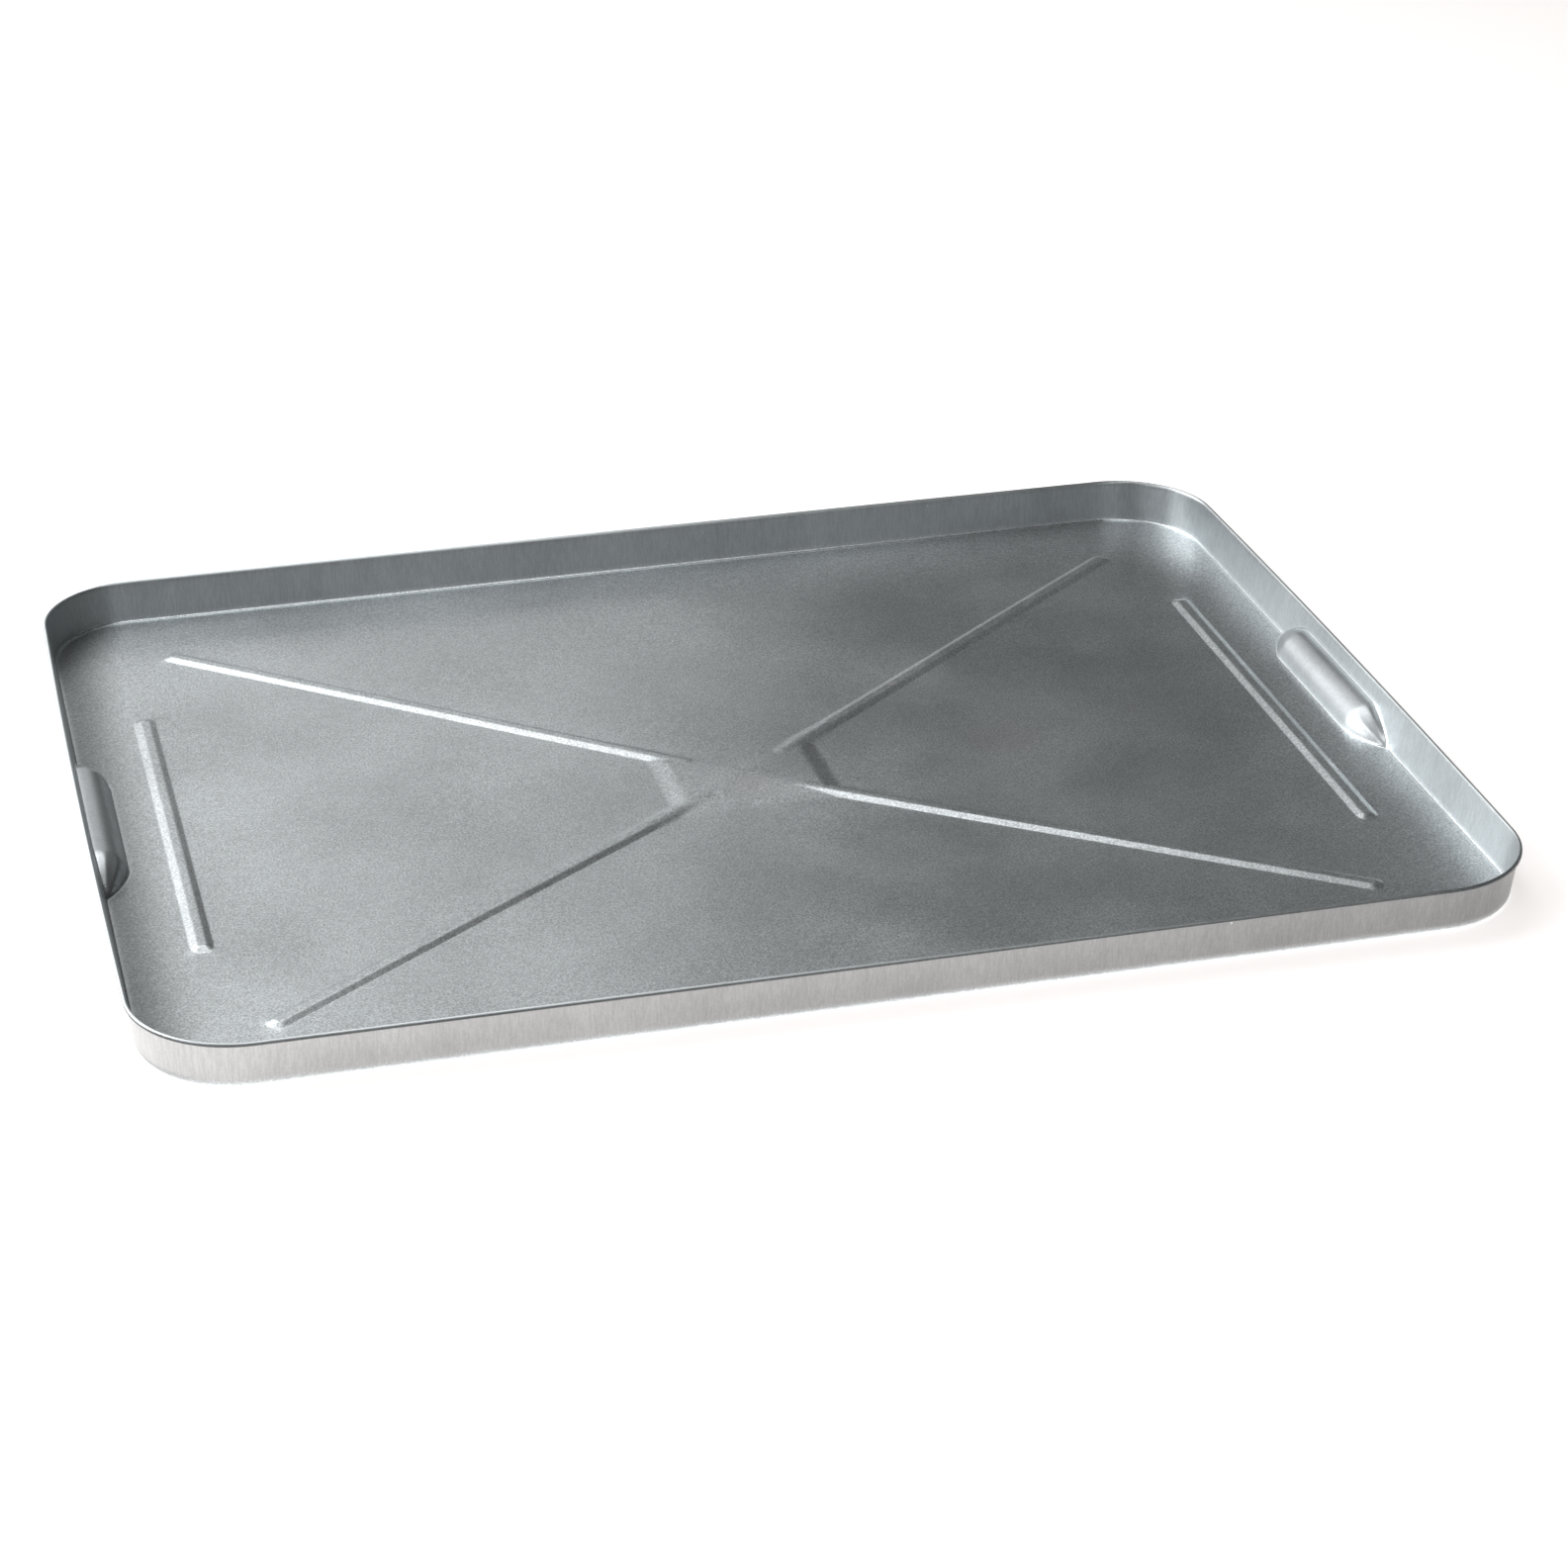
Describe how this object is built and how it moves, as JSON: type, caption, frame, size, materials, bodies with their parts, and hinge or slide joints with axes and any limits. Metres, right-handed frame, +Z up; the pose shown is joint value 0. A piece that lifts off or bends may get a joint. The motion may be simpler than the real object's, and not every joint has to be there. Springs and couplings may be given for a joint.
{
  "type": "oil drain pan",
  "caption": "Shallow rectangular galvanised steel drip pan with rounded corners, sloping walls, a cross-ribbed floor and a finger recess in each end wall.",
  "frame": {"origin": "middle of the underside, on the surface the pan rests on", "axes": "+X along the pan's length, +Y across it away from the viewer, +Z up"},
  "size_m": [0.5744, 0.4454, 0.0205],
  "materials": {
    "galvanised_steel": "galvanised, satin grey with fine grain"
  },
  "bodies": {
    "root": {"pan": "galvanised_steel"}
  },
  "joints": []
}
